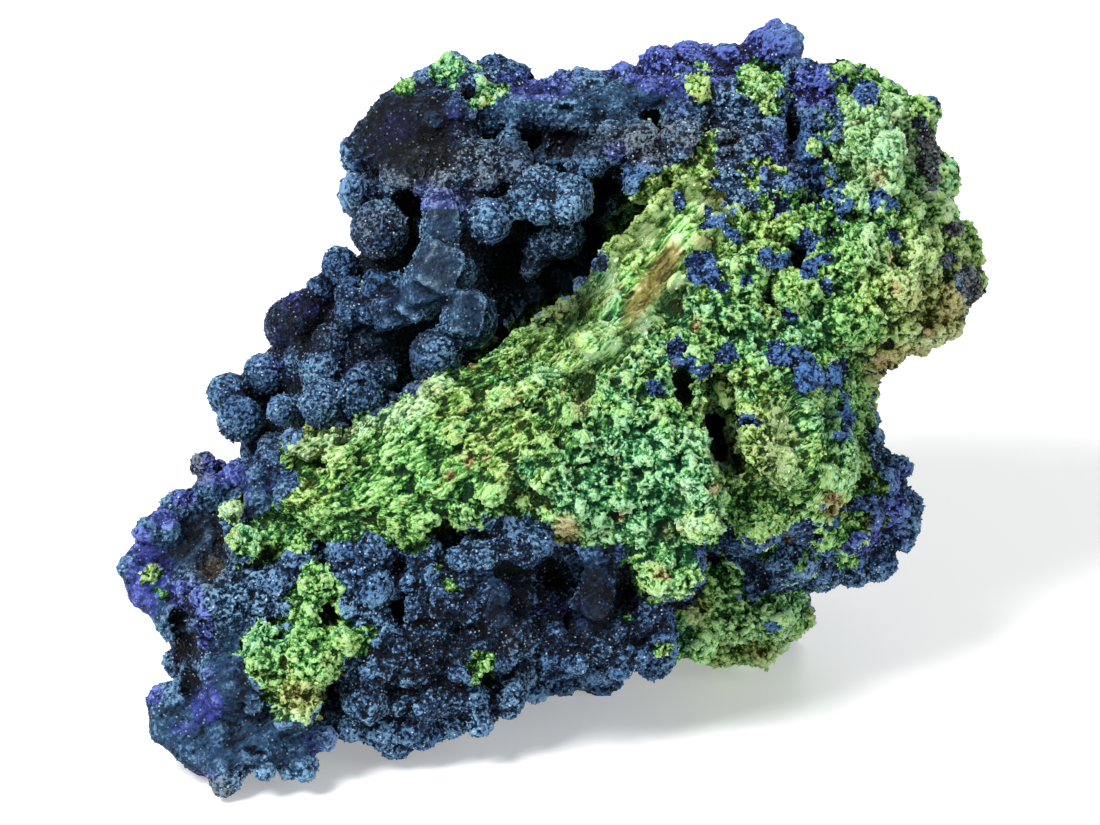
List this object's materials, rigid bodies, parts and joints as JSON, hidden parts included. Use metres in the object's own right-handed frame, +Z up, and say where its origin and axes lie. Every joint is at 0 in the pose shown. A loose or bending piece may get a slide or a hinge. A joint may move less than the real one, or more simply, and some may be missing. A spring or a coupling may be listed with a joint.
{
  "type": "azurite and malachite mineral specimen",
  "caption": "Free-standing natural mineral specimen: grape-like azurite balls above a slanting green malachite slope, with a small open pocket between them.",
  "frame": {"origin": "middle of the bounding box's underside, on the surface that the specimen stands on", "axes": "+X along its length to the viewer's right, -Y towards the display side, +Z up"},
  "size_m": [0.0866, 0.066, 0.0589],
  "materials": {
    "azurite": "dark blue crystalline azurite with a mossy green malachite crust, matt with tiny sparkling faces"
  },
  "bodies": {
    "root": {"azurite_specimen": "azurite"}
  },
  "joints": []
}
